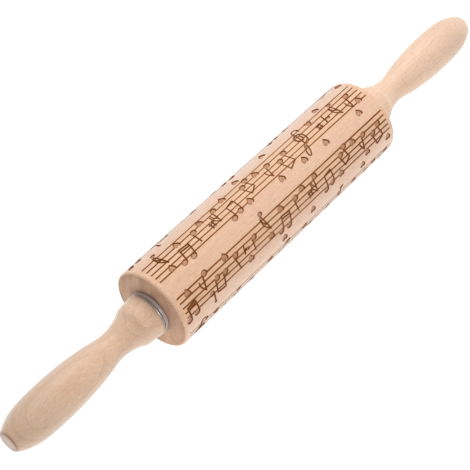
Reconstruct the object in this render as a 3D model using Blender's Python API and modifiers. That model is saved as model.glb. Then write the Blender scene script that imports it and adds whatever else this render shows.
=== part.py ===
"""Embossed rolling pin.

An engraved beech roller turns on a steel axle. A flanged nylon bush is pressed into each end of the
roller, and a steel thrust washer keeps the turned handle off the bush. Both handles are fixed on the
axle, so they turn together. The pin lies along X, with Z up, and rests on its roller at Z = 0.
"""

import math

import bmesh
import bpy
from mathutils import Vector
from mathutils.geometry import delaunay_2d_cdt

# Roller
ROLLER_LENGTH = 0.186
ROLLER_RADIUS = 0.025
ROLLER_EDGE_RADIUS = 0.0015
ROLLER_BORE_CLEARANCE = 0.0015
ROLLER_SIDES = 48
EDGE_ARC_STEPS = 2

# Axle
AXLE_RADIUS = 0.004
AXLE_CHAMFER = 0.0006
AXLE_GRIP_LENGTH = 0.070
AXLE_SIDES = 20

# Bushes, in the ends of the roller
BUSH_FLANGE_RADIUS = 0.013
BUSH_FLANGE_THICKNESS = 0.0021
BUSH_FLANGE_CHAMFER = 0.0003
BUSH_BARREL_RADIUS = 0.007
BUSH_BARREL_LENGTH = 0.020
BUSH_LEAD_IN = 0.0006
BUSH_SIDES = 24

# Thrust washers
WASHER_RADIUS = 0.0124
WASHER_THICKNESS = 0.0010
WASHER_SIDES = 24

# Handles
HANDLE_LENGTH = 0.1017
HANDLE_COLLAR_RADIUS = 0.01335
HANDLE_FACE_CHAMFER = 0.0004
HANDLE_SIDES = 28
HANDLE_STEPS_PER_SPAN = 2
HANDLE_BORE_SIDES = 16

# Gap between faces that touch
SEAT_GAP = 0.0003

# Engraving: five-line staves round the roller, each on its own eight facets
STAVES = 6
STAVE_MARGIN = 0.0038
STAVE_LINES = 5
LINE_WIDTH = 0.00065
STEM_WIDTH = 0.00075
BEAM_WIDTH = 0.0011
ENGRAVING_DEPTH = 0.0010
ENGRAVING_ROOT_SHARE = 0.80
CUTTER_OVERRUN = 0.0008

# Points of a turned shape closer than this are one point
MERGE_DISTANCE = 0.00001

# Where the first stave's middle line lies, counted round the roller from its top
FIRST_STAVE_TURN_SHARE = -1 / 48

# Outer shape of a handle: share of its length from the roller, share of its collar's radius
HANDLE_SHAPE_SHARES = (
    (0.000, 1.000),
    (0.095, 0.918),
    (0.132, 0.800),
    (0.182, 0.662),
    (0.250, 0.605),
    (0.325, 0.672),
    (0.430, 0.793),
    (0.570, 0.893),
    (0.710, 0.921),
    (0.830, 0.888),
    (0.925, 0.748),
    (1.000, 0.471),
)

# Corners of the engraving's marks closer than this share of a line spacing are one corner
CORNER_MERGE_SHARE = 0.0001

# Shapes in the engraving, in line spacings
HEAD_HALF_WIDTH_SHARE = 0.60
HEAD_HALF_HEIGHT_SHARE = 0.48
HEAD_TILT_SHARE = 0.05
HEAD_SIDES = 6
HEART_SHAPE_SHARES = ((0.00, -0.66), (0.58, 0.13), (0.34, 0.59), (0.00, 0.33), (-0.34, 0.59), (-0.58, 0.13))
FLAG_SHAPE_SHARES = ((0.00, -0.10), (0.55, -0.90))
FLAG_STEP_SHARE = 0.55
BEAM_STEP_SHARE = 0.48
CLEF_LEAN_SHARE = 0.30
CLEF_CURL_SHARES = (
    (-0.30, -1.03),
    (0.05, -0.37),
    (0.70, -0.77),
    (0.45, -1.72),
    (-0.45, -1.87),
    (-1.15, -1.03),
    (-0.75, 0.22),
    (0.45, 1.53),
    (0.62, 2.42),
    (0.28, 2.97),
    (-0.05, 2.47),
)
CLEF_STEM_SHARES = ((-0.08, 2.62), (0.35, -2.62))
CLEF_TAIL_SHARES = ((0.32, -2.47), (-0.05, -3.07), (-0.50, -2.82))

# The tune's larger marks: kind, place along it, height above the middle line, and for notes the
# stem's reach, its lean and its flags or beams. A pair adds its second head's place and height.
# Places along are shares of the tune, and the rest are in line spacings. Each stave starts a third
# of its length further on in the tune than the one before it.
TUNE_STAVES_SHARE = 4 / 3
TUNE_START_SHARE = 1 / 3
TUNE_SHARES = (
    ("note", 0.083, -1.60, 3.00, 0.05, 1),
    ("clef", 0.214, 0.00),
    ("pair", 0.278, -0.50, 2.60, -0.25, 1, 0.303, 0.25),
    ("note", 0.333, -1.00, 3.00, 0.25, 1),
    ("heart", 0.370, -1.35),
    ("heart", 0.443, 1.90),
    ("pair", 0.479, 2.30, -2.75, 0.00, 1, 0.504, 2.55),
    ("heart", 0.568, -1.50),
    ("note", 0.598, -1.00, 2.20, 0.05, 0),
    ("heart", 0.711, 1.40),
    ("note", 0.752, -0.90, 2.20, 0.20, 0),
    ("heart", 0.844, -1.95),
    ("pair", 0.863, 0.25, 2.20, 0.25, 1, 0.889, 0.10),
    ("note", 0.909, -2.20, 2.45, 0.25, 1),
)

# Loose hearts above each stave, in a round of three: share of the stave's length, line spacings
LOOSE_HEART_SHARES = (
    ((0.245, 3.40), (0.458, 3.30)),
    ((0.129, 3.10), (0.421, 3.90), (0.563, 4.40)),
    ((0.147, 4.90), (0.553, 4.70)),
)

# Colour, roughness and metallic value
FINISHES = {
    "roller_beech": ((0.78, 0.53, 0.37), 0.55, 0.0),
    "handle_beech": ((0.80, 0.58, 0.40), 0.50, 0.0),
    "nylon": ((0.78, 0.76, 0.76), 0.30, 0.0),
    "steel": ((0.55, 0.54, 0.54), 0.30, 1.0),
}

FULL_TURN = 2 * math.pi
QUARTER_TURN = math.pi / 2

# Sizes that follow from the driving dimensions
ROLLER_END = ROLLER_LENGTH / 2
RUNNING_RADIUS = AXLE_RADIUS + SEAT_GAP
BUSH_START = ROLLER_END + SEAT_GAP
WASHER_START = BUSH_START + BUSH_FLANGE_THICKNESS + SEAT_GAP
HANDLE_START = WASHER_START + WASHER_THICKNESS + SEAT_GAP
AXLE_END = HANDLE_START + AXLE_GRIP_LENGTH
AXIS_HEIGHT = ROLLER_RADIUS * math.cos(FULL_TURN / ROLLER_SIDES / 2)
STAVE_LENGTH = ROLLER_LENGTH - 2 * STAVE_MARGIN
LINE_TURN = FULL_TURN / ROLLER_SIDES
LINE_SPACING = ROLLER_RADIUS * LINE_TURN
TUNE_LENGTH = STAVE_LENGTH * TUNE_STAVES_SHARE


def clear_scene():
    for item in list(bpy.data.objects):
        bpy.data.objects.remove(item, do_unlink=True)


def new_collection(name):
    collection = bpy.data.collections.new(name)
    bpy.context.scene.collection.children.link(collection)
    return collection


def make_material(name):
    colour, roughness, metallic = FINISHES[name]
    material = bpy.data.materials.new(name)
    material.use_nodes = True
    shader = material.node_tree.nodes["Principled BSDF"]
    shader.inputs["Base Color"].default_value = (*colour, 1.0)
    shader.inputs["Roughness"].default_value = roughness
    shader.inputs["Metallic"].default_value = metallic
    material.diffuse_color = (*colour, 1.0)
    return material


def place(name, mesh, collection, axis, along=0.0, flipped=False, material=None):
    """Put a mesh on the pin's axis. A flipped piece points to the near end."""
    item = bpy.data.objects.new(name, mesh)
    collection.objects.link(item)
    item.parent = axis
    item.location = (0.0, 0.0, -along if flipped else along)
    item.rotation_euler = (math.pi if flipped else 0.0, 0.0, 0.0)
    if material:
        mesh.materials.append(material)
    return item


def turned(name, profile, sides, closed, collection, axis, **where):
    """Turn a profile of (radius, height) about the local Z axis."""
    mesh = bpy.data.meshes.new(name)
    points = [(radius, 0.0, height) for radius, height in profile]
    edges = [(i, i + 1) for i in range(len(points) - 1)]
    if closed:
        edges.append((len(points) - 1, 0))
    mesh.from_pydata(points, edges, [])
    item = place(name, mesh, collection, axis, **where)
    screw = item.modifiers.new("turn", "SCREW")
    screw.axis = "Z"
    screw.angle = FULL_TURN
    screw.steps = sides
    screw.render_steps = sides
    screw.use_merge_vertices = True
    screw.merge_threshold = MERGE_DISTANCE
    screw.use_smooth_shade = True
    return item


def cut(item, cutter, overlapping=False):
    cutter.hide_render = True
    cutter.display_type = "WIRE"
    boolean = item.modifiers.new("cut_" + cutter.name, "BOOLEAN")
    boolean.operation = "DIFFERENCE"
    boolean.solver = "EXACT"
    boolean.use_self = overlapping
    boolean.object = cutter


def roller_profile():
    """A barrel with rounded edges, listed down its outer side."""
    top = []
    for step in range(EDGE_ARC_STEPS + 1):
        angle = QUARTER_TURN * step / EDGE_ARC_STEPS
        radius = ROLLER_RADIUS - ROLLER_EDGE_RADIUS * (1 - math.sin(angle))
        top.append((radius, ROLLER_END - ROLLER_EDGE_RADIUS * (1 - math.cos(angle))))
    bottom = [(radius, -height) for radius, height in reversed(top)]
    return [(0.0, ROLLER_END)] + top + bottom + [(0.0, -ROLLER_END)]


def roller_bore_profile():
    """The axle's running bore, opened at both ends for the bushes' barrels."""
    seat_radius = BUSH_BARREL_RADIUS + SEAT_GAP
    bore_radius = AXLE_RADIUS + ROLLER_BORE_CLEARANCE
    seat_end = ROLLER_END - BUSH_BARREL_LENGTH
    over = ROLLER_END + CUTTER_OVERRUN
    half = [(0.0, over), (seat_radius, over), (seat_radius, seat_end), (bore_radius, seat_end)]
    return half + [(radius, -height) for radius, height in reversed(half)]


def engraving_floor_profile():
    """The roller's core under the engraving, with its facets parallel to the surface's."""
    radius = ROLLER_RADIUS - ENGRAVING_DEPTH / math.cos(LINE_TURN / 2)
    return [(0.0, ROLLER_END), (radius, ROLLER_END), (radius, -ROLLER_END), (0.0, -ROLLER_END)]


def bush_profile():
    """A flange outside the roller and a barrel inside it, with the axle's bore through both."""
    flange_top = BUSH_FLANGE_THICKNESS
    barrel_end = -BUSH_BARREL_LENGTH + SEAT_GAP
    return [
        (BUSH_FLANGE_RADIUS - BUSH_FLANGE_CHAMFER, flange_top),
        (BUSH_FLANGE_RADIUS, flange_top - BUSH_FLANGE_CHAMFER),
        (BUSH_FLANGE_RADIUS, BUSH_FLANGE_CHAMFER),
        (BUSH_FLANGE_RADIUS - BUSH_FLANGE_CHAMFER, 0.0),
        (BUSH_BARREL_RADIUS, 0.0),
        (BUSH_BARREL_RADIUS, barrel_end + BUSH_LEAD_IN),
        (BUSH_BARREL_RADIUS - BUSH_LEAD_IN, barrel_end),
        (RUNNING_RADIUS, barrel_end),
        (RUNNING_RADIUS, flange_top),
    ]


def washer_profile():
    return [
        (WASHER_RADIUS, WASHER_THICKNESS),
        (WASHER_RADIUS, 0.0),
        (RUNNING_RADIUS, 0.0),
        (RUNNING_RADIUS, WASHER_THICKNESS),
    ]


def axle_profile():
    shoulder = AXLE_END - AXLE_CHAMFER
    top = [(0.0, AXLE_END), (AXLE_RADIUS - AXLE_CHAMFER, AXLE_END), (AXLE_RADIUS, shoulder)]
    return top + [(radius, -height) for radius, height in reversed(top)]


def smooth_through(knots, steps):
    """Points of a Catmull-Rom curve through the knots."""
    ends = [2 * knots[0][axis] - knots[1][axis] for axis in range(2)]
    tail = [2 * knots[-1][axis] - knots[-2][axis] for axis in range(2)]
    padded = [tuple(ends)] + list(knots) + [tuple(tail)]
    points = []
    for start in range(1, len(padded) - 2):
        before, first, second, after = padded[start - 1:start + 3]
        for step in range(steps):
            t = step / steps
            point = []
            for axis in range(2):
                bend = 2 * before[axis] - 5 * first[axis] + 4 * second[axis] - after[axis]
                twist = 3 * first[axis] - before[axis] - 3 * second[axis] + after[axis]
                run = (second[axis] - before[axis]) * t
                point.append(first[axis] + (run + bend * t ** 2 + twist * t ** 3) / 2)
            points.append(tuple(point))
    points.append(tuple(knots[-1]))
    return points


def handle_profile():
    """Tip to roller down the outer side, then the flat face that meets the washer."""
    curve = smooth_through(HANDLE_SHAPE_SHARES, HANDLE_STEPS_PER_SPAN)
    side = [(share * HANDLE_COLLAR_RADIUS, along * HANDLE_LENGTH) for along, share in curve[1:]]
    rim = [
        (HANDLE_COLLAR_RADIUS, HANDLE_FACE_CHAMFER),
        (HANDLE_COLLAR_RADIUS - HANDLE_FACE_CHAMFER, 0.0),
    ]
    return [(0.0, HANDLE_LENGTH)] + side[::-1] + rim + [(0.0, 0.0)]


def handle_bore_profile():
    depth = AXLE_GRIP_LENGTH + SEAT_GAP
    return [(0.0, depth), (RUNNING_RADIUS, depth), (RUNNING_RADIUS, -CUTTER_OVERRUN), (0.0, -CUTTER_OVERRUN)]


class Engraving:
    """Marks cut into one side of the roller, each drawn as a flat outline.

    A mark is drawn with u along the stave, read from the far end of the pin, and v up from the
    stave's middle line, or from a height above it, both in line spacings. A mark that would run
    off the stave is left out.
    """

    def __init__(self, stave, height=0.0):
        turn = FULL_TURN * (FIRST_STAVE_TURN_SHARE + stave / STAVES) + math.pi + height * LINE_TURN
        self.outward = Vector((math.cos(turn), math.sin(turn), 0.0))
        self.around = Vector((-math.sin(turn), math.cos(turn), 0.0))
        self.length = STAVE_LENGTH / LINE_SPACING
        self.mark = []
        self.outlines = []

    def area(self, outline):
        self.mark.append(outline)

    def stroke(self, path, width):
        """A band of even width along a path."""
        half = width / LINE_SPACING / 2
        left, right = [], []
        for index, (u, v) in enumerate(path):
            before = path[max(index - 1, 0)]
            after = path[min(index + 1, len(path) - 1)]
            run, rise = after[0] - before[0], after[1] - before[1]
            size = math.hypot(run, rise)
            left.append((u - rise / size * half, v + run / size * half))
            right.append((u + rise / size * half, v - run / size * half))
        self.mark.append(right + left[::-1])

    def end_mark(self):
        """Keep the mark drawn since the last call, if all of it lies on the stave."""
        mark, self.mark = self.mark, []
        reach = [u for outline in mark for u, v in outline]
        if min(reach) >= 0.0 and max(reach) <= self.length:
            self.outlines += mark

    def add_cutters(self, mesh):
        """Join the outlines that overlap, and stand a straight prism on each patch."""
        corners, faces = [], []
        for outline in self.outlines:
            faces.append([len(corners) + index for index in range(len(outline))])
            corners += [Vector((u, math.sin(v * LINE_TURN) / LINE_TURN)) for u, v in outline]
        points, _, patches, _, _, sources = delaunay_2d_cdt(corners, [], faces, 1, CORNER_MERGE_SHARE)
        patches = [patch for patch, source in zip(patches, sources) if source]
        root = self.outward * ROLLER_RADIUS * ENGRAVING_ROOT_SHARE
        top = self.outward * (ROLLER_RADIUS + CUTTER_OVERRUN)
        low, high = [], []
        for point in points:
            corner = self.around * point.y * LINE_SPACING
            corner.z = STAVE_LENGTH / 2 - point.x * LINE_SPACING
            low.append(mesh.verts.new(corner + root))
            high.append(mesh.verts.new(corner + top))
        sides = {(patch[index - 1], patch[index]) for patch in patches for index in range(len(patch))}
        for patch in patches:
            mesh.faces.new([high[index] for index in patch])
            mesh.faces.new([low[index] for index in reversed(patch)])
        for first, second in sorted(sides):
            if (second, first) not in sides:
                mesh.faces.new((low[first], low[second], high[second], high[first]))


def draw_lines(engraving):
    for line in range(STAVE_LINES):
        v = line - (STAVE_LINES - 1) / 2
        engraving.stroke([(0.0, v), (engraving.length, v)], LINE_WIDTH)
        engraving.end_mark()


def draw_head(engraving, u, v):
    tilt = FULL_TURN * HEAD_TILT_SHARE
    outline = []
    for side in range(HEAD_SIDES):
        angle = FULL_TURN * (side + 0.5) / HEAD_SIDES
        across = HEAD_HALF_WIDTH_SHARE * math.cos(angle)
        up = HEAD_HALF_HEIGHT_SHARE * math.sin(angle)
        outline.append((
            u + across * math.cos(tilt) - up * math.sin(tilt),
            v + across * math.sin(tilt) + up * math.cos(tilt),
        ))
    engraving.area(outline)


def stem_ends(u, v, reach, lean):
    """A stem that goes up stands on the right of its head, and one that goes down on the left."""
    side = math.copysign(HEAD_HALF_WIDTH_SHARE - STEM_WIDTH / LINE_SPACING / 2, reach)
    return (u + side, v), (u + side + lean * abs(reach), v + reach)


def draw_note(engraving, u, v, reach, lean, flags):
    draw_head(engraving, u, v)
    foot, tip = stem_ends(u, v, reach, lean)
    engraving.stroke([foot, tip], STEM_WIDTH)
    for flag in range(flags):
        drop = FLAG_STEP_SHARE * flag
        path = [(tip[0] + across - lean * drop, tip[1] + up - drop) for across, up in FLAG_SHAPE_SHARES]
        engraving.stroke(path, BEAM_WIDTH)
    engraving.end_mark()


def draw_pair(engraving, u, v, reach, lean, beams, second_u, second_v):
    tips = []
    for head_u, head_v in ((u, v), (second_u, second_v)):
        draw_head(engraving, head_u, head_v)
        foot, tip = stem_ends(head_u, head_v, reach, lean)
        engraving.stroke([foot, tip], STEM_WIDTH)
        tips.append(tip)
    step = math.copysign(BEAM_STEP_SHARE, -reach)
    for beam in range(beams):
        engraving.stroke([(tip[0], tip[1] + step * beam) for tip in tips], BEAM_WIDTH)
    engraving.end_mark()


def draw_heart(engraving, u, v):
    engraving.area([(u + across, v + up) for across, up in HEART_SHAPE_SHARES])
    engraving.end_mark()


def draw_clef(engraving, u, v):
    for path, width in (
        (CLEF_CURL_SHARES, BEAM_WIDTH),
        (CLEF_STEM_SHARES, STEM_WIDTH),
        (CLEF_TAIL_SHARES, BEAM_WIDTH),
    ):
        engraving.stroke([(u + across + CLEF_LEAN_SHARE * up, v + up) for across, up in path], width)
    engraving.end_mark()


DRAW = {
    "heart": draw_heart,
    "note": draw_note,
    "pair": draw_pair,
    "clef": draw_clef,
}


def engrave_stave(mesh, stave):
    engraving = Engraving(stave)
    draw_lines(engraving)
    tune = TUNE_LENGTH / LINE_SPACING
    start = stave * TUNE_START_SHARE * engraving.length
    for kind, along, height, *shape in TUNE_SHARES:
        first = along * tune - start
        u = first % tune
        if kind == "pair":
            shape[-2] = shape[-2] * tune - start - first + u
        DRAW[kind](engraving, u, height, *shape)
    engraving.add_cutters(mesh)
    for along, height in LOOSE_HEART_SHARES[stave % len(LOOSE_HEART_SHARES)]:
        heart = Engraving(stave, height)
        draw_heart(heart, along * engraving.length, 0.0)
        heart.add_cutters(mesh)


def engraving_mesh():
    drawn = bmesh.new()
    for stave in range(STAVES):
        engrave_stave(drawn, stave)
    bmesh.ops.recalc_face_normals(drawn, faces=drawn.faces[:])
    mesh = bpy.data.meshes.new("engraving_cutter")
    drawn.to_mesh(mesh)
    drawn.free()
    return mesh


def build():
    clear_scene()
    parts = new_collection("embossed_rolling_pin")
    cutters = new_collection("cutters")
    finish = {name: make_material(name) for name in FINISHES}

    axis = bpy.data.objects.new("pin_axis", None)
    parts.objects.link(axis)
    axis.location = (0.0, 0.0, AXIS_HEIGHT)
    axis.rotation_euler = (0.0, QUARTER_TURN, 0.0)

    half_side = FULL_TURN / ROLLER_SIDES / 2
    roller = turned("roller", roller_profile(), ROLLER_SIDES, False, parts, axis,
                    material=finish["roller_beech"])
    roller.rotation_euler = (0.0, 0.0, half_side)
    bore = turned("roller_bore_cutter", roller_bore_profile(), BUSH_SIDES, False, cutters, axis)
    floor = turned("engraving_floor_cutter", engraving_floor_profile(), ROLLER_SIDES, False, cutters, axis)
    floor.rotation_euler = (0.0, 0.0, half_side)
    engraving = place("engraving_cutter", engraving_mesh(), cutters, axis)
    cut(engraving, floor, overlapping=True)
    cut(roller, bore)
    cut(roller, engraving, overlapping=True)

    turned("axle", axle_profile(), AXLE_SIDES, False, parts, axis, material=finish["steel"])
    for end, flipped in (("far", False), ("near", True)):
        turned(end + "_bush", bush_profile(), BUSH_SIDES, True, parts, axis,
               along=BUSH_START, flipped=flipped, material=finish["nylon"])
        turned(end + "_thrust_washer", washer_profile(), WASHER_SIDES, True, parts, axis,
               along=WASHER_START, flipped=flipped, material=finish["steel"])
        handle = turned(end + "_handle", handle_profile(), HANDLE_SIDES, False, parts, axis,
                        along=HANDLE_START, flipped=flipped, material=finish["handle_beech"])
        socket = turned(end + "_handle_bore_cutter", handle_bore_profile(), HANDLE_BORE_SIDES, False, cutters,
                        axis, along=HANDLE_START, flipped=flipped)
        cut(handle, socket)


build()
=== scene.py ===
"""Looks of the embossed rolling pin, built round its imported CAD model.

The roller is rebuilt with its whole tune: staves, notes, clefs, rests, sharps and hearts, cut in
with steep walls and burnt edges. The other turned pieces are rebuilt with finer, softer profiles,
and the axle keeps its CAD shape. Every material is made of nodes.
"""

import math

import bmesh
import bpy
import numpy as np
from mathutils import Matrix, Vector
from mathutils.geometry import delaunay_2d_cdt


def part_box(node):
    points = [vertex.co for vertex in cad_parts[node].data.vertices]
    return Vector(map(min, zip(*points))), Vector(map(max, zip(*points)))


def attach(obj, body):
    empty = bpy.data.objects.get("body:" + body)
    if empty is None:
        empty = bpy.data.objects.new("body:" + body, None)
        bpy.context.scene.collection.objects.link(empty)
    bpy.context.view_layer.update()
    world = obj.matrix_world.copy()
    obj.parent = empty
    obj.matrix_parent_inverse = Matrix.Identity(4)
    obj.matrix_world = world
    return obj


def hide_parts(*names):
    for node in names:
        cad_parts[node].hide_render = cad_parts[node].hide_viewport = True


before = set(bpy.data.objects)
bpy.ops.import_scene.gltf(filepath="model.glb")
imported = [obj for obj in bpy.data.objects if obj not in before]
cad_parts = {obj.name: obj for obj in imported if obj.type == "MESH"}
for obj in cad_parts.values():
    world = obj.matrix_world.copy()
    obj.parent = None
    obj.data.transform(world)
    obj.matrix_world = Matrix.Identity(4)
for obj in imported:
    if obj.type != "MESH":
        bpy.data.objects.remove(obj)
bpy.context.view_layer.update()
scene = bpy.context.scene

FULL_TURN = 2 * math.pi
QUARTER_TURN = math.pi / 2

# Meshes: sides of turned pieces and round marks, and steps along curves
TURNED_SIDES = 128
HEAD_SIDES = 26
DOT_SIDES = 14
ROUND_STEPS = 5
CURVE_STEPS = 4
HEART_STEPS = 3
GRIP_STEPS = 6
SAME_PLACE = 2e-6
SHARP_ANGLE = math.radians(35)

# Triangulation: what it gives back, and its tolerances in line spacings
ALL_TRIANGLES = 0
INNER_TRIANGLES = 1
BORDER_TOLERANCE = 1e-5
SURFACE_TOLERANCE = 1e-6

# Staves, counted round the roller in line spacings
STAVES = 6
STAVE_STEP = 8
SPACINGS_ROUND = STAVES * STAVE_STEP
STAVE_LINES = 5
FIRST_STAVE_ANGLE = math.radians(-7.5)
STAVE_MARGIN = 0.0038
SEAM = 4.0
FACETS_PER_SPACING = 3
ROLLER_SIDES = SPACINGS_ROUND * FACETS_PER_SPACING
# Degrees that the engraving is ahead at places round the roller: it isn't quite even
DRIFT_PLACES = (-8.0, -2.5, 0.0, 8.0, 14.0, 24.0)
DRIFT_DEGREES = (0.0, 0.4, 1.5, -1.1, -3.8, -3.0)

# The roller's own sizes, in metres. Its end grain starts at a share of its rounded edge.
EDGE_RADIUS = 0.0016
EDGE_STEPS = 6
END_START = 0.93
END_RINGS = 8
SEAT_RADIUS = 0.0073
SEAT_DEPTH = 0.020
BORE_RADIUS = 0.0055
BURNT_SLOT = 1
END_SLOT = 2

# Levels of a mark, from its scorched halo down to the middle of its floor: growth of the outline,
# depth, scorch. The plain wood round the marks has its own level.
LEVELS = (
    (0.00038, 0.0000, 0.00),
    (0.00016, 0.0000, 0.80),
    (0.00000, 0.00003, 0.98),
    (-0.00010, 0.00048, 1.00),
    (-0.00024, 0.00050, 0.90),
    (-0.00046, 0.00050, 0.46),
)
PLAIN_LEVEL = -1
BURNT_LEVEL = 1
HAIR = 0.00004

# Widths of strokes, in metres
LINE_WIDTH = 0.00033
STEM_WIDTH = 0.00052
BEAM_WIDTH = 0.00062
FLAG_WIDTH = 0.00056
SIGN_WIDTH = 0.00055
BAR_WIDTH = BEAM_WIDTH * 0.8
CLEF_WIDTH = SIGN_WIDTH * 1.5

# The strokes are burnt wider toward a stave's ends, and more so on every second stave: shares of
# their width at places along the stave
BURN_PLACES = (0.06, 0.19, 0.31, 0.66, 0.81, 0.94)
BURN_SHARES = (
    (1.05, 0.95, 0.66, 0.73, 1.05, 1.28),
    (1.43, 1.40, 1.02, 0.95, 1.25, 1.42),
)
LINE_PARTS = 16

# Shapes of notes and hearts, in line spacings. Two flags are drawn as long ones, for a stem of
# LONG_REACH, and the second is smaller.
HEAD_HALF_WIDTH = 0.62
HEAD_HALF_HEIGHT = 0.48
HEAD_TILT = math.radians(18)
SMALL_HEAD = 0.74
DOTTED_HEAD = 0.85
DOTTED_STEM = ((-0.45, 0.0), (-0.24, 1.95))
DOTTED_DOT = 0.26
FLAG = ((-0.06, 0.02), (0.28, -0.39), (0.60, -1.00), (0.62, -1.40), (0.50, -1.75))
LONG_FLAG = ((-0.06, 0.02), (0.34, -0.40), (0.80, -0.95), (0.88, -1.45), (0.84, -2.10))
LONG_REACH = 2.75
FLAG_STEP = 0.85
SECOND_FLAG = 0.68
FLAG_END = 0.6
BEAM_STEP = 0.48
HALF_HEART = (
    (0.0, -0.68), (0.30, -0.38), (0.58, 0.00), (0.63, 0.36), (0.42, 0.62), (0.15, 0.58),
    (0.0, 0.40),
)
OVERHANG = 0.5

# Shapes of signs, in line spacings. Each point of the clef's curves also has its share of the
# width there.
REST_TOP = 0.30
REST_FOOT = -0.14
REST_HOOK = ((-0.72, 0.10), (-0.30, 0.02), (0.06, 0.30))
REST_DOT_SIZE = (0.34, 0.25)
REST_DOT_PLACE = (-0.72, 0.24)
SHARP_POST_PLACE = 0.30
SHARP_POST_REACH = 0.60
SHARP_BAR_PLACE = 0.28
SHARP_BAR_REACH = 0.62
SHARP_SLANT = 0.06
CLEF = (
    ((-1.48, -1.90, 2.0), (-1.70, -2.18, 1.6), (-1.60, -2.60, 1.1), (-1.22, -2.83, 0.9),
     (-0.80, -2.80, 0.9), (-0.46, -2.48, 0.9), (-0.30, -1.95, 0.9), (-0.22, -1.40, 0.9),
     (-0.06, -0.35, 0.8), (0.10, 0.60, 0.8), (0.30, 1.55, 0.9), (0.60, 2.52, 1.0),
     (0.95, 3.12, 1.0), (1.27, 3.40, 0.9), (1.57, 3.16, 0.9), (1.50, 2.66, 1.0)),
    ((1.50, 2.66, 1.0), (1.22, 2.05, 1.4), (0.72, 1.50, 2.0), (0.05, 1.12, 2.3),
     (-0.60, 0.90, 1.9), (-1.02, 0.60, 1.4), (-1.22, 0.08, 1.1), (-1.28, -0.50, 1.1),
     (-1.12, -1.06, 1.1), (-0.72, -1.42, 1.1), (-0.18, -1.52, 1.1), (0.36, -1.32, 1.2),
     (0.66, -0.90, 1.3), (0.60, -0.45, 1.5), (0.34, -0.04, 1.6), (-0.10, 0.16, 1.4),
     (-0.54, 0.00, 1.2), (-0.70, -0.40, 1.1), (-0.60, -0.80, 1.1)),
)

# The tune: kind, place along it, height above the middle line, and for notes the stem's reach, its
# lean and its flags. A pair adds its second head's place and height. Places are shares of the tune,
# and the rest are in line spacings. The tune is four thirds of a stave long, and each stave starts
# a third of a stave further on than the one before, which is a quarter of the tune.
TUNE_STAVES = 4 / 3
TUNE_STARTS = 4
TUNE = (
    ("heart", 0.0252, 1.65),
    ("note", 0.0343, -0.65, 2.75, 0.20, 1),
    ("small_note", 0.0830, -1.75, 3.25, -0.10, 2),
    ("rest", 0.1292, 0.00, 1.00),
    ("sharp", 0.1565, 0.42),
    ("heart_down", 0.1640, -1.60),
    ("clef", 0.2199, 0.00),
    ("pair", 0.2795, -0.50, 2.50, -0.30, 1, 0.3055, 0.28),
    ("note", 0.3350, -0.88, 2.45, 0.20, 1),
    ("heart", 0.3730, -1.32),
    ("pair", 0.4025, -1.75, 2.15, -0.30, 1, 0.4235, -0.90),
    ("heart", 0.4430, 1.95),
    ("pair", 0.4785, 2.15, -2.50, 0.00, 1, 0.5035, 2.50),
    ("note", 0.5197, -1.40, 2.60, 0.12, 2),
    ("sharp", 0.5535, 0.66),
    ("heart", 0.5680, -1.50),
    ("note", 0.5973, -0.80, 2.35, -0.02, 0),
    ("heart", 0.6480, -1.35),
    ("pair", 0.6450, 2.50, -2.40, -0.22, 2, 0.6727, 2.30),
    ("small_note", 0.7008, -3.05, 3.30, -0.20, 2),
    ("heart", 0.7040, 1.42),
    ("note", 0.7495, -0.78, 2.15, 0.12, 0),
    ("heart", 0.7812, 1.97),
    ("rest", 0.7876, -0.25, 0.75),
    ("note", 0.8155, -0.65, 2.80, -0.16, 0),
    ("heart", 0.8416, -1.85),
    ("pair", 0.8600, 0.32, 2.30, 0.20, 1, 0.8862, 0.10),
    ("note", 0.9070, -2.15, 2.45, 0.32, 1),
    ("dotted_note", 0.9167, 1.80),
    ("heart", 0.9693, -1.65),
    ("pair", 0.9705, 2.50, -2.30, 0.02, 2, 0.9970, 2.85),
)

# Loose hearts above each stave, in a round of three: share of the stave's length, line spacings
LOOSE_HEARTS = (
    ((0.071, 3.50), (0.243, 3.40), (0.347, 3.12), (0.4540, 2.85)),
    ((0.0143, 3.40), (0.1227, 2.58), (0.153, 4.40), (0.4133, 3.80), (0.556, 4.15)),
    ((0.0084, 3.90), (0.150, 4.85), (0.413, 4.30), (0.554, 4.80)),
)
FIRST_STAVE_HEART = (0.6413, -2.0)

# Smoke stain along a stave, in line spacings
SMOKE_REACH = 2.7
SMOKE_FADE = 0.7

# Handles: distance from the collar's face and radius, in metres
HANDLE_SHAPE = (
    (0.0000, 0.01332),
    (0.0025, 0.01299),
    (0.0055, 0.01262),
    (0.0080, 0.01245),
    (0.0103, 0.01216),
    (0.0122, 0.01140),
    (0.0140, 0.01048),
    (0.0160, 0.00978),
    (0.0186, 0.00908),
    (0.0222, 0.00840),
    (0.0262, 0.00818),
    (0.0302, 0.00853),
    (0.0352, 0.00950),
    (0.0420, 0.01058),
    (0.0520, 0.01165),
    (0.0620, 0.01227),
    (0.0720, 0.01238),
    (0.0820, 0.01210),
    (0.0900, 0.01112),
    (0.0960, 0.00928),
    (0.0994, 0.00769),
    (0.1017, 0.00640),
)
COLLAR_ROUNDING = 0.0006
TIP_ROUNDING = 0.0009
TIP_CROWN = 0.00012
FIT_GAP = 0.0003
GRIP_DEPTH = 0.0703
# Shares of end grain, of a darker rim round the tip, and of painted shade on the collar next to the
# bush, which fades out over a width in metres
TIP_END_GRAIN = 0.55
TIP_RIM_DARKENING = 0.55
COLLAR_PAINTED_SHADE = 0.16
COLLAR_PAINTED_SHADE_WIDTH = 0.0022
# Painted shade toward each handle's tip, where the grip turns away from the light: distance from
# the collar's face in metres, share taken off, and how much of it each handle gets
TIP_SHADE_PLACES = (0.045, 0.065, 0.083, 0.1017)
TIP_SHADE_SHARES = (0.0, 0.05, 0.12, 0.08)
TIP_SHADE_OF_END = {"near": 1.0, "far": 0.75}

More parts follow.
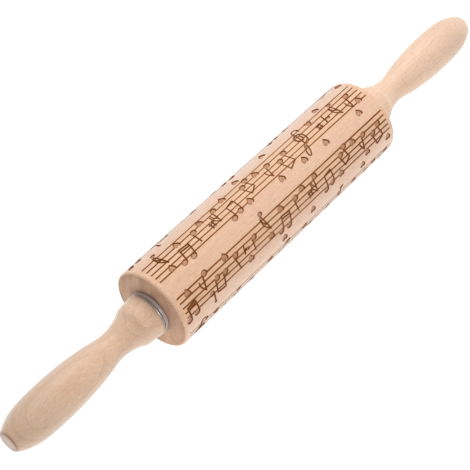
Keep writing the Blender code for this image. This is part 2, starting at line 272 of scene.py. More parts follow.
# Bushes and washers, in metres
FLANGE_THICKNESS = 0.0021
FLANGE_ROUNDING = 0.0005
BARREL_RADIUS = 0.007
LEAD_IN = 0.0006
WASHER_ROUNDING = 0.00025
WASHER_FULLER = 0.0004

# Woods: two tones, sheen, and the growth rings. These lie round a distant pith: its direction
# round the axis and its slope along it in radians, its distance in metres, the rings' strength
# and how far they wander in metres.
ROLLER_WOOD = ((0.80, 0.530, 0.370), (0.77, 0.480, 0.320), 1.0, (0.9, 0.02, 0.060, 0.18, 0.0035))
HANDLE_WOODS = {
    "near": (
        (0.735, 0.514, 0.356), (0.693, 0.458, 0.306), 1.0, (-0.50, -0.02, 0.014, 0.36, 0.0008),
    ),
    # The far handle's beech is lighter than the near one's: painted light for the brighter light on
    # the far end
    "far": (
        (0.82, 0.583, 0.425), (0.77, 0.524, 0.376), 0.35, (1.1, 0.01, 0.075, 0.22, 0.0020),
    ),
}
BURNT_FUZZ = 0.0
END_FUZZ = 0.20
FUZZ_ROUGHNESS = 0.50
WOOD_SPECULAR = 0.25
WAX = 0.08
WAX_ROUGHNESS = 0.45

# Grain: scales along X, Y and Z, or one for rings
RING_SCALE = 130.0
LATHE_SCALE = 260.0
WANDER_SCALE = (9.0, 30.0, 30.0)
TONE_SCALE = (7.0, 45.0, 45.0)
FIBRE_SCALE = (55.0, 1300.0, 1300.0)
PORE_SCALE = (260.0, 3400.0, 3400.0)
RAY_SCALE = (420.0, 2100.0, 900.0)
PATCH_SCALE = (20.0, 130.0, 60.0)
SOOT_SCALE = (900.0, 900.0, 900.0)

# Grain: how strongly each layer shows, and the heights of its bumps in metres
FIBRE_SHARE = 0.30
PORE_SHARE = 0.45
RAY_SHARE = 0.18
END_LATHE_SHARE = 0.12
END_RING_SHARE = 0.22
END_GRAIN_SHARE = 0.90
FIBRE_HEIGHT = 0.00003
PORE_HEIGHT = 0.00004
SOOT_HEIGHT = 0.00010

# Ramps: stops of (place, shade). The last four give a surface's roughness.
RING_RAMP = ((0.0, 0.0), (0.55, 0.10), (0.90, 0.75), (0.97, 1.0), (1.0, 0.25))
PORE_RAMP = ((0.0, 1.0), (0.33, 0.9), (0.40, 0.0), (1.0, 0.0))
RAY_RAMP = ((0.0, 0.0), (0.66, 0.0), (0.74, 1.0), (1.0, 1.0))
TONE_RAMP = ((0.30, 0.0), (0.72, 1.0))
PATCH_RAMP = ((0.36, 0.0), (0.64, 1.0))
CHAR_RAMP = ((0.0, 0.0), (0.50, 0.50), (0.85, 0.92), (1.0, 1.0))
WOOD_ROUGHNESS = ((0.2, 0.46), (0.8, 0.60))
NYLON_ROUGHNESS = ((0.3, 0.16), (0.7, 0.26))
STEEL_ROUGHNESS = ((0.3, 0.24), (0.7, 0.40))
FLOOR_ROUGHNESS = ((0.0, 0.85), (1.0, 0.95))

# Colours: tints multiply the wood, and the others cover it
BLACK = (0.0, 0.0, 0.0, 1.0)
RING_TINT = (0.80, 0.66, 0.54, 1.0)
FIBRE_TINT = (0.84, 0.76, 0.70, 1.0)
PORE_TINT = (0.62, 0.46, 0.36, 1.0)
SMOKE_TINT = (0.985, 0.910, 0.78, 1.0)
RAY = (1.0, 0.86, 0.72, 1.0)
END_LIGHT = (0.70, 0.425, 0.265, 1.0)
END_DEEP = (0.45, 0.230, 0.122, 1.0)
BURNT_DARK = (0.190, 0.048, 0.006, 1.0)
BURNT_LIGHT = (0.350, 0.112, 0.020, 1.0)
BURNT_ROUGHNESS = (0.85, 0.85, 0.85, 1.0)
# White nylon darkened to grey: painted shade for the bush between the roller and the handle
NYLON_SHADED_DARK = (0.42, 0.355, 0.350, 1.0)
NYLON_SHADED_LIGHT = (0.49, 0.415, 0.410, 1.0)
NYLON_RUBBED = (0.33, 0.27, 0.26, 1.0)
STEEL_DARK = (0.55, 0.52, 0.53, 1.0)
STEEL_LIGHT = (0.70, 0.67, 0.67, 1.0)
FLOOR_DARK = (0.27, 0.27, 0.27, 1.0)
FLOOR_LIGHT = (0.29, 0.29, 0.29, 1.0)
WHITE = (1.0, 1.0, 1.0, 1.0)

# Nylon, steel and floor
NYLON_IOR = 1.53
NYLON_CLOUD_SCALE = 160.0
NYLON_SKIN_SCALE = 5200.0
NYLON_ARC_SCALE = (9000.0, 180.0, 180.0)
NYLON_ARC_SHARE = 0.2
NYLON_SKIN_HEIGHT = 0.00001
NYLON_ARC_HEIGHT = 0.00002
NYLON_GLOSS_ROUGHNESS = 0.18
STEEL_BRUSH_SCALE = 900.0
STEEL_STAIN_SCALE = 240.0
STEEL_BRUSH_HEIGHT = 0.00001
FLOOR_CLOUD_SCALE = 3.0
FLOOR_CLOUD_HEIGHT = 0.0001
FLOOR_GLOW = 0.93
FLOOR_SIZE = 12.0

# Camera and light. Each lamp is a disc that faces the origin: name, place, size and power.
CAMERA_LENS = 105.75
CAMERA_SENSOR = 36.0
CAMERA_PLACE = (-0.3958, -0.29341, 0.63095)
CAMERA_TURN = (math.radians(37.933), math.radians(-1.379), math.radians(-49.986))
WORLD_STRENGTH = 0.35
LIGHTS = (
    ("key", (0.62, 0.62, 1.15), 0.7, 17.0),
    ("side", (-0.2, -1.25, 0.85), 0.8, 8.0),
)


# Shapes


def circle(sides):
    turn = np.arange(sides) / sides * FULL_TURN
    return np.column_stack([np.cos(turn), np.sin(turn)])


def smooth_path(knots, steps):
    """Catmull-Rom points through knots of any number of values."""
    knots = np.array(knots, float)
    padded = np.vstack([2 * knots[0] - knots[1], knots, 2 * knots[-1] - knots[-2]])
    t = (np.arange(steps) / steps)[:, None]
    points = []
    for before, first, second, after in zip(padded, padded[1:], padded[2:], padded[3:]):
        bend = 2 * before - 5 * first + 4 * second - after
        twist = 3 * first - before - 3 * second + after
        points.append(first + ((second - before) * t + bend * t ** 2 + twist * t ** 3) / 2)
    return np.vstack(points + [knots[-1:]])


class Roller:
    """The roller's pattern, drawn unrolled in line spacings: u along it from the far end of the
    staves, and a round it from the first stave's middle line."""

    def __init__(self, length, radius, middle):
        self.length, self.radius, self.middle = length, radius, middle
        self.spacing = radius * FULL_TURN / SPACINGS_ROUND
        self.stave = (length - 2 * STAVE_MARGIN) / self.spacing
        self.tune = self.stave * TUNE_STAVES
        self.shapes = []

    # Shapes: each is a function of its outline's growth, and gives nothing once that leaves no room

    def stroke(self, path, width):
        """A band along a path, with one width in metres or one at each point."""
        path = np.array(path, float)
        shares = BURN_SHARES[round(path[0, 1] / STAVE_STEP) % len(BURN_SHARES)]
        burn = np.interp(path[:, 0] / self.stave, BURN_PLACES, shares)
        half = np.broadcast_to(np.array(width, float) / 2 / self.spacing, len(path))
        half = (half * burn)[:, None]
        run = np.gradient(path, axis=0)
        run /= np.linalg.norm(run, axis=1)[:, None]
        aside = np.column_stack([-run[:, 1], run[:, 0]])

        def outline(growth):
            grown = half + growth
            if grown.max() < HAIR / self.spacing:
                return None
            grown = np.maximum(grown, HAIR / self.spacing)
            line = path.copy()
            line[0] -= run[0] * growth
            line[-1] += run[-1] * growth
            return np.vstack([line - aside * grown, (line + aside * grown)[::-1]])

        return outline

    def blob(self, points):
        """A round shape that grows from its middle."""
        points = np.array(points, float)
        centre = points.mean(axis=0)
        reach = np.linalg.norm(points - centre, axis=1).mean()
        return lambda growth: centre + (points - centre) * (1 + growth / reach)

    def mark(self, shapes):
        """Keep a mark's shapes if all of them lie on the stave, or hardly beyond its end."""
        reach = np.concatenate([shape(0.0)[:, 0] for shape in shapes])
        if reach.min() >= -OVERHANG and reach.max() <= self.stave + OVERHANG:
            self.shapes += shapes

    def head(self, u, a, size=1.0):
        across, up = (circle(HEAD_SIDES) * (size * HEAD_HALF_WIDTH, size * HEAD_HALF_HEIGHT)).T
        return self.blob(np.column_stack([
            u + across * math.cos(HEAD_TILT) - up * math.sin(HEAD_TILT),
            a + across * math.sin(HEAD_TILT) + up * math.cos(HEAD_TILT),
        ]))

    def stem_ends(self, u, a, reach, lean, size=1.0):
        side = math.copysign(HEAD_HALF_WIDTH * size - STEM_WIDTH / self.spacing / 2, reach)
        return np.array((u + side, a)), np.array((u + side + lean * abs(reach), a + reach))

    def note(self, u, a, reach, lean, flags, size=1.0):
        foot, tip = self.stem_ends(u, a, reach, lean, size)
        shapes = [self.head(u, a, size), self.stroke([foot, tip], STEM_WIDTH)]
        knots, scale = (LONG_FLAG, reach / LONG_REACH) if flags == 2 else (FLAG, 1.0)
        for flag in range(flags):
            curl = smooth_path(knots, CURVE_STEPS) * scale * SECOND_FLAG ** flag
            top = tip - np.array((lean, 1.0)) * FLAG_STEP * scale * flag
            width = FLAG_WIDTH * np.linspace(1.0, FLAG_END, len(curl))
            shapes.append(self.stroke(top + curl, width))
        self.mark(shapes)

    def small_note(self, *note):
        self.note(*note, SMALL_HEAD)

    def dotted_note(self, u, a):
        """A small head with its stem on the far side and a dot at the stem's end."""
        foot, tip = np.array(DOTTED_STEM) + (u, a)
        dot = tip + DOTTED_DOT * circle(DOT_SIDES)
        stem = self.stroke([foot, tip], STEM_WIDTH)
        self.mark([self.head(u, a, DOTTED_HEAD), stem, self.blob(dot)])

    def pair(self, u, a, reach, lean, beams, second_u, second_a):
        shapes, tips = [], []
        for head_u, head_a in ((u, a), (second_u, second_a)):
            foot, tip = self.stem_ends(head_u, head_a, reach, lean)
            shapes += [self.head(head_u, head_a), self.stroke([foot, tip], STEM_WIDTH)]
            tips.append(tip)
        down = np.array((0.0, math.copysign(BEAM_STEP, -reach)))
        for beam in range(beams):
            shapes.append(self.stroke([tip + down * beam for tip in tips], BEAM_WIDTH))
        self.mark(shapes)

    def heart(self, u, a, way=1):
        half = smooth_path(HALF_HEART, HEART_STEPS)
        other = (half[1:] * (-1, 1))[::-1]
        self.mark([self.blob(np.vstack([half[:-1], other]) * way + (u, a))])

    def heart_down(self, u, a):
        self.heart(u, a, -1)

    def rest(self, u, a, reach):
        dot = circle(DOT_SIDES) * REST_DOT_SIZE + REST_DOT_PLACE
        hook = smooth_path((*REST_HOOK, (REST_TOP, reach)), CURVE_STEPS)
        slash = np.array([(REST_TOP, reach), (REST_FOOT, -reach)])
        self.mark([
            self.stroke(slash + (u, a), SIGN_WIDTH),
            self.stroke(hook + (u, a), SIGN_WIDTH),
            self.blob(dot + (u, a)),
        ])

    def sharp(self, u, a):
        shapes = []
        for side in (-1, 1):
            post_u, bar_a = SHARP_POST_PLACE * side, SHARP_BAR_PLACE * side
            post = np.array([(post_u, -SHARP_POST_REACH), (post_u, SHARP_POST_REACH)])
            bar = np.array([
                (-SHARP_BAR_REACH, bar_a - SHARP_SLANT),
                (SHARP_BAR_REACH, bar_a + SHARP_SLANT),
            ])
            shapes.append(self.stroke(post + (u, a + SHARP_SLANT * side), SIGN_WIDTH))
            shapes.append(self.stroke(bar + (u, a), BAR_WIDTH))
        self.mark(shapes)

    def clef(self, u, a):
        shapes = []
        for curve in CLEF:
            points = smooth_path(curve, CURVE_STEPS)
            shapes.append(self.stroke(points[:, :2] + (u, a), CLEF_WIDTH * points[:, 2]))
        self.mark(shapes)

    def draw(self):
        """Draw the staves once round, and the first again to close the round."""
        places = np.linspace(0, self.stave, LINE_PARTS + 1)
        for turn in range(STAVES + 1):
            base, stave = turn * STAVE_STEP, turn % STAVES
            for line in range(STAVE_LINES):
                a = base + line - (STAVE_LINES - 1) / 2
                self.mark([self.stroke([(place, a) for place in places], LINE_WIDTH)])
            start = stave * self.tune / TUNE_STARTS
            for kind, along, height, *rest in TUNE:
                first = along * self.tune - start
                u = first % self.tune
                if kind == "pair":
                    rest[-2] = rest[-2] * self.tune - start - first + u
                    rest[-1] += base
                getattr(self, kind)(u, base + height, *rest)
            for along, height in LOOSE_HEARTS[stave % len(LOOSE_HEARTS)]:
                self.heart(along * self.stave, base + height)
            if stave == 0:
                self.heart(FIRST_STAVE_HEART[0] * self.stave, base + FIRST_STAVE_HEART[1])

    def borders(self, growth):
        """Corners and edges round all that the shapes cover at one growth, joined where they
        overlap."""
        corners, faces = [], []
        for shape in self.shapes:
            outline = shape(growth / self.spacing)
            if outline is not None:
                faces.append(list(range(len(corners), len(corners) + len(outline))))
                corners += [Vector(corner) for corner in outline]
        points, _, patches, _, _, sources = delaunay_2d_cdt(
            corners, [], faces, INNER_TRIANGLES, BORDER_TOLERANCE)
        sides = set()
        for patch, source in zip(patches, sources):
            if source:
                sides.update((patch[i - 1], patch[i]) for i in range(len(patch)))
        edges = [side for side in sides if side[::-1] not in sides]
        used = sorted({corner for edge in edges for corner in edge})
        place = {corner: index for index, corner in enumerate(used)}
        return [points[corner] for corner in used], sorted((place[a], place[b]) for a, b in edges)

    def surface(self):
        """Triangles of the engraved surface, with each corner's u, a and level."""
        points, edges, level_of = [], [], []
        for level, (growth, _, _) in enumerate(LEVELS):
            corners, sides = self.borders(growth)
            edges += [(len(points) + a, len(points) + b) for a, b in sides]
            level_of += [level] * len(sides)
            points += corners
        reach = (self.length / 2 - EDGE_RADIUS) / self.spacing
        ends = self.stave / 2 - reach, self.stave / 2 + reach
        for step in range(ROLLER_SIDES + 1):
            a = SEAM + step / FACETS_PER_SPACING
            edges.append((len(points), len(points) + 1))
            level_of.append(PLAIN_LEVEL)
            points += [Vector((end, a)) for end in ends]
        corners, links, patches, _, sources, _ = delaunay_2d_cdt(
            points, edges, [], ALL_TRIANGLES, SURFACE_TOLERANCE)
        levels = np.full(len(corners), PLAIN_LEVEL)
        for link, source in zip(links, sources):
            level = max((level_of[edge] for edge in source), default=PLAIN_LEVEL)
            for corner in link:
                levels[corner] = max(levels[corner], level)
        corners, patches = np.array(corners), np.array(patches)
        middle = corners[patches][:, :, 1].mean(axis=1)
        patches = patches[(middle > SEAM) & (middle < SEAM + SPACINGS_ROUND)]
        return corners, levels, patches

    def ends_profile(self, barrel):
        """Places and radii over the far end from its rounded edge, through the bore, and over the
        near end to its edge."""
        arc = np.linspace(0, QUARTER_TURN, EDGE_STEPS + 1)
        edge = np.column_stack([
            barrel + EDGE_RADIUS * np.sin(arc),
            self.radius - EDGE_RADIUS * (1 - np.cos(arc)),
        ])
        radii = np.linspace(edge[-1, 1], SEAT_RADIUS, END_RINGS)[1:]
        face = np.column_stack([np.full(len(radii), self.length / 2), radii])
        seat = self.length / 2 - SEAT_DEPTH
        far = np.vstack([edge, face, [(seat, SEAT_RADIUS), (seat, BORE_RADIUS)]])
        return np.vstack([far, far[::-1] * (-1, 1)])

    def mesh(self):
        """The surface wound round the barrel, with the two ends and the bore turned on to it."""
        self.draw()
        corners, levels, patches = self.surface()
        # PLAIN_LEVEL picks the last value
        depths = np.array([depth for _, depth, _ in LEVELS] + [0.0])[levels]
        scorch_and_shade = np.array([share for _, _, share in LEVELS] + [0.0])[levels]
        along = (self.stave / 2 - corners[:, 0]) * self.spacing
        points = self.wind(along, self.radius - depths, corners[:, 1])

        barrel = self.length / 2 - EDGE_RADIUS
        profile = self.ends_profile(barrel)
        rounds = SEAM + np.arange(ROLLER_SIDES) / FACETS_PER_SPACING
        grids = np.broadcast_arrays(profile[:, :1], profile[:, 1:], rounds[None])
        turned = self.wind(*(grid.ravel() for grid in grids))
        quads = ring_quads(len(profile), ROLLER_SIDES) + len(points)

        mesh = bpy.data.meshes.new("engraved_roller")
        mesh.from_pydata(np.vstack([points, turned]), [], patches.tolist() + quads.tolist())
        from_middle = np.abs(profile[:, 0])
        is_end = np.repeat(from_middle > barrel + EDGE_RADIUS * END_START, ROLLER_SIDES)
        off_stave = np.abs((corners[:, 1] + STAVE_STEP / 2) % STAVE_STEP - STAVE_STEP / 2)
        smoke = np.clip((SMOKE_REACH - off_stave) / SMOKE_FADE, 0, 1)
        set_values(mesh, "scorch_and_shade", np.concatenate([scorch_and_shade, np.zeros(len(turned))]))
        set_values(mesh, "smoke", np.concatenate([smoke, np.zeros(len(turned))]))
        set_values(mesh, "end_grain", np.concatenate([np.zeros(len(points)), is_end * 1.0]))
        is_burnt = (levels[patches] >= BURNT_LEVEL).all(axis=1)
        on_end = np.repeat(from_middle >= barrel, ROLLER_SIDES).reshape(-1, ROLLER_SIDES)
        on_end = (on_end[:-1] & on_end[1:]).ravel()
        slots = np.concatenate([is_burnt * BURNT_SLOT, on_end * END_SLOT])
        mesh.polygons.foreach_set("material_index", slots)
        return join_close(mesh)

    def wind(self, along, radius, a):
        drift = np.radians(np.interp(a, DRIFT_PLACES, DRIFT_DEGREES, period=SPACINGS_ROUND))
        angle = FIRST_STAVE_ANGLE + a * FULL_TURN / SPACINGS_ROUND + drift
        across, up = -radius * np.sin(angle), self.middle + radius * np.cos(angle)
        return np.column_stack([along, across, up])


def ring_quads(rings, sides):
    """Faces between rings of corners that follow each other down the outer side of a turned
    shape."""
    first = np.arange(rings - 1)[:, None] * sides
    here, there = np.arange(sides)[None], (np.arange(sides)[None] + 1) % sides
    corners = (first + here, first + there, first + sides + there, first + sides + here)
    return np.stack([corner.ravel() for corner in corners], axis=1)


def set_values(mesh, name, values):
    """One value at each corner, for a material to read by its name."""
    mesh.attributes.new(name, "FLOAT", "POINT").data.foreach_set("value", values)


def join_close(mesh):
    """Join corners in the same place, turn faces outward and smooth all but the sharp edges."""
    shape = bmesh.new()
    shape.from_mesh(mesh)
    bmesh.ops.remove_doubles(shape, verts=shape.verts[:], dist=SAME_PLACE)
    bmesh.ops.recalc_face_normals(shape, faces=shape.faces[:])
    for face in shape.faces:
        face.smooth = True
    shape.to_mesh(mesh)
    shape.free()
    mesh.set_sharp_from_angle(angle=SHARP_ANGLE)
    return mesh


def turned_piece(name, profile, material, middle, end, shares=None):
    """A piece turned on the pin's axis from (place along X, radius) pairs, mirrored to the near end
    where end is -1. Its shares are named values for the material, one for each pair."""
    profile = np.array(profile, float)
    angle = np.arange(TURNED_SIDES) / TURNED_SIDES * FULL_TURN * -end
    points = np.column_stack([
        np.repeat(profile[:, 0] * end, TURNED_SIDES),
        (profile[:, 1:] * -np.sin(angle)).ravel(),
        middle + (profile[:, 1:] * np.cos(angle)).ravel(),
    ])
    mesh = bpy.data.meshes.new(name)
    mesh.from_pydata(points, [], ring_quads(len(profile), TURNED_SIDES).tolist())
    for share, values in (shares or {}).items():
        set_values(mesh, share, np.repeat(values, TURNED_SIDES))
    return show(name, join_close(mesh), material)


def show(name, mesh, *materials):
    for material in materials:
        mesh.materials.append(material)
    piece = bpy.data.objects.new(name, mesh)
    scene.collection.objects.link(piece)
    return piece


def rounded(profile, radii):
    """Round the inner corners of a profile, each with its own radius."""
    profile = np.array(profile, float)
    points = [profile[0]]
    for before, corner, after, radius in zip(profile, profile[1:], profile[2:], radii):
        if radius:
            back = (before - corner) / np.linalg.norm(before - corner)
            on = (after - corner) / np.linalg.norm(after - corner)
            half = math.acos(float(np.clip(back @ on, -1, 1))) / 2
            reach = radius / math.tan(half)
            start, stop = corner + back * reach, corner + on * reach
            for t in np.linspace(0, 1, ROUND_STEPS + 1):
                bend = 2 * t * (1 - t) * corner
                points.append((1 - t) ** 2 * start + bend + t ** 2 * stop)
        else:
            points.append(corner)
    return np.vstack(points + [profile[-1]])


def handle_profile(start, stop, bore_radius, bore_depth):
    """From the middle of the tip, over the grip and the collar, into the blind bore."""
    side = smooth_path(HANDLE_SHAPE, GRIP_STEPS)[::-1]
    side[:, 0] += start
    tip_radius, collar_radius = side[0, 1], side[-1, 1]
    tip = [
        (stop + TIP_CROWN, 0.0),
        (stop + TIP_CROWN / 2, tip_radius / 2),
        (stop, tip_radius - TIP_ROUNDING),
    ]
    arc = np.linspace(0, QUARTER_TURN, ROUND_STEPS + 1)
    rim = [
        (stop - TIP_ROUNDING * (1 - math.cos(t)), tip_radius - TIP_ROUNDING * (1 - math.sin(t)))
        for t in arc[1:-1]
    ]
    side = side[(side[:, 0] < stop - TIP_ROUNDING) & (side[:, 0] > start + COLLAR_ROUNDING)]
    face = [
        (start + COLLAR_ROUNDING * (1 - math.sin(t)),
         collar_radius - COLLAR_ROUNDING * (1 - math.cos(t)))
        for t in arc
    ]
    bore = [(start, bore_radius), (start + bore_depth, bore_radius), (start + bore_depth, 0.0)]
    profile = np.vstack([tip, rim, side, face, bore])

    from_collar = profile[:, 0] - start
    ends = np.zeros(len(profile))
    ends[:len(tip)] = TIP_END_GRAIN
    rim_dark_and_collar_shade = np.zeros(len(profile))
    # A darker rim round the tip, in the burnt colour
    rim_dark_and_collar_shade[len(tip) - 1:len(tip) + len(rim)] = TIP_RIM_DARKENING
    # Painted shade on the collar where it meets the bush, fading away from the collar's face
    rim_dark_and_collar_shade += COLLAR_PAINTED_SHADE * np.clip(1 - from_collar / COLLAR_PAINTED_SHADE_WIDTH, 0, 1)
    # Painted shade: the grip darkens toward the tip, where it turns away from the light
    painted_tip_shade = np.interp(from_collar, TIP_SHADE_PLACES, TIP_SHADE_SHARES)
    return profile, {"end_grain": ends, "scorch_and_shade": rim_dark_and_collar_shade, "painted_tip_shade": painted_tip_shade}


def bush_profile(start, stop, flange, barrel_stop, bore):
    """A flange against the roller's end and a barrel in it, closed round its bore."""
    loop = [
        (stop, bore), (stop, flange), (start, flange), (start, BARREL_RADIUS),
        (barrel_stop, BARREL_RADIUS), (barrel_stop, bore), (stop, bore),
    ]
    return rounded(loop, (FLANGE_ROUNDING, FLANGE_ROUNDING, 0.0, LEAD_IN, 0.0))


def washer_profile(start, stop, radius, bore):
    loop = [(stop, bore), (stop, radius), (start, radius), (start, bore), (stop, bore)]
    return rounded(loop, (WASHER_ROUNDING, WASHER_ROUNDING, 0.0))


# Materials


def add(tree, kind, sockets=None, **settings):
    """A node with its settings, and values or links for its sockets."""
    node = tree.nodes.new("ShaderNode" + kind)
    for key, value in settings.items():
        setattr(node, key, value)
    for key, value in (sockets or {}).items():
        if isinstance(value, bpy.types.NodeSocket):
            tree.links.new(value, node.inputs[key])
        else:
            node.inputs[key].default_value = value
    return node


def mix(tree, factor, first, second, blend="MIX"):
    """Sockets 6 and 7 of a colour mix are its two colours, and output 2 is the result."""
    sockets = {0: factor, 6: first, 7: second}
    return add(tree, "Mix", sockets, data_type="RGBA", blend_type=blend).outputs[2]


def times(tree, first, second):
    return add(tree, "Math", {0: first, 1: second}, operation="MULTIPLY").outputs[0]


def ramp(tree, factor, stops):
    """Shades of grey at places from 0 to 1."""
    node = add(tree, "ValToRGB", {"Fac": factor})
    elements = node.color_ramp.elements
    elements[0].position, elements[1].position = stops[0][0], stops[-1][0]
    for place, _ in stops[1:-1]:
        elements.new(place)
    for element, (_, shade) in zip(elements, stops):
        element.color = (shade, shade, shade, 1.0)
    return node.outputs["Color"]


def mapped(tree, vector, **how):
    """A vector moved, turned or scaled by the named sockets."""
    return add(tree, "Mapping", {"Vector": vector, **how}).outputs["Vector"]


def noise(tree, vector, scale, detail, roughness=0.5):
    sockets = {"Vector": vector, "Scale": scale, "Detail": detail, "Roughness": roughness}
    return add(tree, "TexNoise", sockets).outputs["Fac"]


def grain(tree, vector, scales, detail, roughness=0.5):
    """Noise with its own scale along each axis."""
    return noise(tree, mapped(tree, vector, Scale=scales), 1.0, detail, roughness)


def wave(tree, vector, scale, distortion, detail, detail_scale=1.0, profile="SIN"):
    """Rings round the X axis."""
    sockets = {"Vector": vector, "Scale": scale, "Distortion": distortion, "Detail": detail,
               "Detail Scale": detail_scale}
    node = add(tree, "TexWave", sockets, wave_type="RINGS", rings_direction="X",
               wave_profile=profile)
    return node.outputs["Fac"]


def mesh_value(tree, name):
    return add(tree, "Attribute", attribute_name=name).outputs["Fac"]


def new_material(name):
    """A material, its tree, its shader and the place on the object."""
    material = bpy.data.materials.new(name)
    material.use_nodes = True
    tree = material.node_tree
    place = add(tree, "TexCoord").outputs["Object"]
    return material, tree, tree.nodes["Principled BSDF"], place


def finish_surface(tree, shader, colour, roughness, heights, **constants):
    """Connect colour and roughness, chain bumps of (height, distance in metres), and set the
    shader's constants, named as its sockets with _ for a space."""
    tree.links.new(colour, shader.inputs["Base Color"])
    tree.links.new(roughness, shader.inputs["Roughness"])
    normal = None
    for height, distance in heights:
        sockets = {"Height": height, "Distance": distance, "Strength": 1.0}
        if normal:
            sockets["Normal"] = normal
        normal = add(tree, "Bump", sockets).outputs["Normal"]
    tree.links.new(normal, shader.inputs["Normal"])
    for socket, value in constants.items():
        shader.inputs[socket.replace("_", " ")].default_value = value


def wood(name, middle, light, deep, fuzz, rings):
    """Beech with its fibres along X. Burnt edges, smoke stains, painted shade by the handles' tips
    and collars, darker tip rims and end grain follow the mesh's own values."""
    turn, tilt, depth, strength, wander = rings
    material, tree, shader, place = new_material(name)
    centred = mapped(tree, place, Location=(0.0, 0.0, -middle))
    facing = mapped(tree, centred, Rotation=(turn, 0.0, 0.0))
    tilted = mapped(tree, facing, Location=(0.0, 0.0, depth), Rotation=(0.0, tilt, 0.0))
    drift = times(tree, grain(tree, place, WANDER_SCALE, detail=3.0), wander)
    drifted = add(tree, "VectorMath", {0: tilted, 1: drift}, operation="ADD").outputs[0]
    growth = wave(tree, drifted, RING_SCALE, distortion=0.6, detail=2.0, detail_scale=1.5,
                  profile="SAW")
    late = ramp(tree, growth, RING_RAMP)
    tones = ramp(tree, grain(tree, place, TONE_SCALE, detail=2.0), TONE_RAMP)
    fibre = grain(tree, place, FIBRE_SCALE, detail=3.0, roughness=0.6)
    pores = ramp(tree, grain(tree, place, PORE_SCALE, detail=1.0), PORE_RAMP)
    rays = ramp(tree, grain(tree, place, RAY_SCALE, detail=0.0), RAY_RAMP)

    colour = mix(tree, tones, (*light, 1.0), (*deep, 1.0))
    colour = mix(tree, times(tree, late, strength), colour, RING_TINT, "MULTIPLY")
    colour = mix(tree, times(tree, fibre, FIBRE_SHARE), colour, FIBRE_TINT, "MULTIPLY")
    colour = mix(tree, times(tree, pores, PORE_SHARE), colour, PORE_TINT, "MULTIPLY")
    colour = mix(tree, times(tree, rays, RAY_SHARE), colour, RAY)
    colour = mix(tree, mesh_value(tree, "smoke"), colour, SMOKE_TINT, "MULTIPLY")
    # Painted shade toward the handles' tips
    colour = mix(tree, mesh_value(tree, "painted_tip_shade"), colour, BLACK)

    lathe = wave(tree, centred, LATHE_SCALE, distortion=1.2, detail=2.0)
    patches = ramp(tree, grain(tree, centred, PATCH_SCALE, detail=4.0), PATCH_RAMP)
    cut = mix(tree, patches, END_LIGHT, END_DEEP)
    cut = mix(tree, times(tree, lathe, END_LATHE_SHARE), cut, END_DEEP)
    cut = mix(tree, times(tree, late, END_RING_SHARE), cut, END_DEEP)
    ends = times(tree, mesh_value(tree, "end_grain"), END_GRAIN_SHARE)
    colour = mix(tree, ends, colour, cut)

    # On the handles this also lays the burnt colour on as painted shade by the collar, and as a
    # darker rim round the tip
    scorch_and_shade = mesh_value(tree, "scorch_and_shade")
    soot = grain(tree, place, SOOT_SCALE, detail=3.0)
    burnt = mix(tree, soot, BURNT_DARK, BURNT_LIGHT)
    colour = mix(tree, ramp(tree, scorch_and_shade, CHAR_RAMP), colour, burnt)
    rough = mix(tree, scorch_and_shade, ramp(tree, fibre, WOOD_ROUGHNESS), BURNT_ROUGHNESS)
    heights = [
        (fibre, FIBRE_HEIGHT),
        (times(tree, pores, -1.0), PORE_HEIGHT),
        (times(tree, soot, scorch_and_shade), SOOT_HEIGHT),
    ]
    finish_surface(tree, shader, colour, rough, heights, Specular_IOR_Level=WOOD_SPECULAR,
                   Coat_Weight=WAX, Coat_Roughness=WAX_ROUGHNESS, Sheen_Weight=fuzz,
                   Sheen_Roughness=FUZZ_ROUGHNESS)
    return material


def with_fuzz(material, name, fuzz):
    """The same material with another sheen."""
    copy = material.copy()
    copy.name = name
    copy.node_tree.nodes["Principled BSDF"].inputs["Sheen Weight"].default_value = fuzz
    return copy


def nylon(name):
    """Moulded white nylon greyed as painted shade, with a fine moulded skin and faint rubbed arcs.
    """
    material, tree, shader, place = new_material(name)
    clouds = noise(tree, place, NYLON_CLOUD_SCALE, detail=3.0)
    skin = noise(tree, place, NYLON_SKIN_SCALE, detail=2.0)
    arcs = grain(tree, place, NYLON_ARC_SCALE, detail=2.0)
    colour = mix(tree, clouds, NYLON_SHADED_DARK, NYLON_SHADED_LIGHT)
    colour = mix(tree, times(tree, arcs, NYLON_ARC_SHARE), colour, NYLON_RUBBED)
    rough = ramp(tree, arcs, NYLON_ROUGHNESS)
    heights = [(skin, NYLON_SKIN_HEIGHT), (arcs, NYLON_ARC_HEIGHT)]
    finish_surface(tree, shader, colour, rough, heights, IOR=NYLON_IOR, Coat_Weight=1.0,
                   Coat_Roughness=NYLON_GLOSS_ROUGHNESS)
    return material


def steel(name):
    """Turned steel, brushed round its axis."""
    material, tree, shader, place = new_material(name)
    brushed = wave(tree, place, STEEL_BRUSH_SCALE, distortion=2.0, detail=3.0)
    stains = noise(tree, place, STEEL_STAIN_SCALE, detail=4.0)
    colour = mix(tree, stains, STEEL_DARK, STEEL_LIGHT)
    rough = ramp(tree, stains, STEEL_ROUGHNESS)
    heights = [(brushed, STEEL_BRUSH_HEIGHT)]
    finish_surface(tree, shader, colour, rough, heights, Metallic=1.0)
    return material


def pale_floor(name):
    """A pale floor that glows a little, as a lit studio sweep does."""
    material, tree, shader, place = new_material(name)
    clouds = noise(tree, place, FLOOR_CLOUD_SCALE, detail=2.0)
    colour = mix(tree, clouds, FLOOR_DARK, FLOOR_LIGHT)
    rough = ramp(tree, clouds, FLOOR_ROUGHNESS)
    finish_surface(tree, shader, colour, rough, [(clouds, FLOOR_CLOUD_HEIGHT)],
                   Emission_Color=WHITE, Emission_Strength=FLOOR_GLOW)
    return material


# The scene


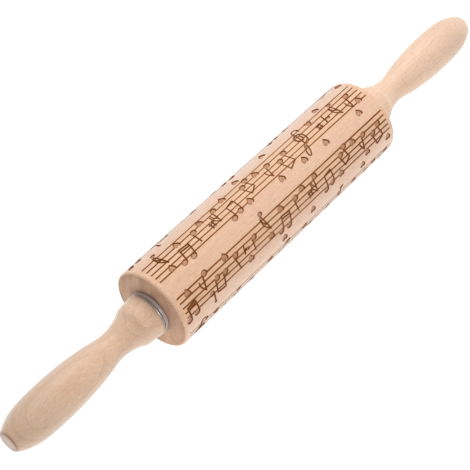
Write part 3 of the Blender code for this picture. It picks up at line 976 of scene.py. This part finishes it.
def add_camera():
    data = bpy.data.cameras.new("camera")
    data.lens, data.sensor_width = CAMERA_LENS, CAMERA_SENSOR
    camera = bpy.data.objects.new("camera", data)
    scene.collection.objects.link(camera)
    camera.location = CAMERA_PLACE
    camera.rotation_euler = CAMERA_TURN
    scene.camera = camera


def add_light(name, place, size, power):
    data = bpy.data.lights.new(name, "AREA")
    data.shape, data.size, data.energy = "DISK", size, power
    light = bpy.data.objects.new(name, data)
    scene.collection.objects.link(light)
    light.location = place
    light.rotation_euler = (-Vector(place)).to_track_quat("-Z", "Y").to_euler()


def add_stage():
    mesh = bpy.data.meshes.new("floor")
    half = FLOOR_SIZE / 2
    corners = [(-half, -half, 0.0), (half, -half, 0.0), (half, half, 0.0), (-half, half, 0.0)]
    mesh.from_pydata(corners, [], [(0, 1, 2, 3)])
    floor = show("floor", mesh, pale_floor("pale_floor"))
    world = bpy.data.worlds.new("studio")
    world.use_nodes = True
    background = world.node_tree.nodes["Background"]
    background.inputs["Color"].default_value = WHITE
    background.inputs["Strength"].default_value = WORLD_STRENGTH
    scene.world = world
    scene.view_settings.view_transform = "Standard"
    for light in LIGHTS:
        add_light(*light)


def turned_size(box):
    """How near and how far a turned node starts and ends along X, and its radius."""
    low, high = box
    near, far = sorted((abs(low.x), abs(high.x)))
    return near, far, (high.z - low.z) / 2


def place_on(piece, node, body):
    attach(piece, body)
    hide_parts(node)


def build_pin():
    low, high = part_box("roller")
    middle = (low.z + high.z) / 2
    roller = Roller(high.x - low.x, (high.z - low.z) / 2, middle)
    finish = wood("roller_beech", middle, *ROLLER_WOOD)
    burnt = with_fuzz(finish, "roller_burnt_beech", BURNT_FUZZ)
    ends = with_fuzz(finish, "roller_end_grain", END_FUZZ)
    engraved = show("roller_engraved", roller.mesh(), finish, burnt, ends)
    place_on(engraved, "roller", "roller")

    white, metal = nylon("nylon"), steel("steel")
    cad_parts["axle"].data.materials.clear()
    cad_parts["axle"].data.materials.append(metal)
    bore = turned_size(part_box("axle"))[2] + FIT_GAP
    woods = {end: wood(end + "_handle_beech", middle, *HANDLE_WOODS[end]) for end in HANDLE_WOODS}
    for end, sign in (("near", -1), ("far", 1)):
        start, stop, _ = turned_size(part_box(end + "_handle"))
        profile, shares = handle_profile(start, stop, bore, GRIP_DEPTH)
        shares["painted_tip_shade"] *= TIP_SHADE_OF_END[end]
        piece = turned_piece(end + "_handle_turned", profile, woods[end], middle, sign, shares)
        place_on(piece, end + "_handle", "handles")

        start, stop, radius = turned_size(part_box(end + "_bush"))
        profile = bush_profile(stop - FLANGE_THICKNESS, stop, radius, start, bore)
        piece = turned_piece(end + "_bush_moulded", profile, white, middle, sign)
        place_on(piece, end + "_bush", "roller")

        start, stop, radius = turned_size(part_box(end + "_thrust_washer"))
        profile = washer_profile(start, stop, radius + WASHER_FULLER, bore)
        piece = turned_piece(end + "_washer_turned", profile, metal, middle, sign)
        place_on(piece, end + "_thrust_washer", "handles")


add_camera()
add_stage()
build_pin()
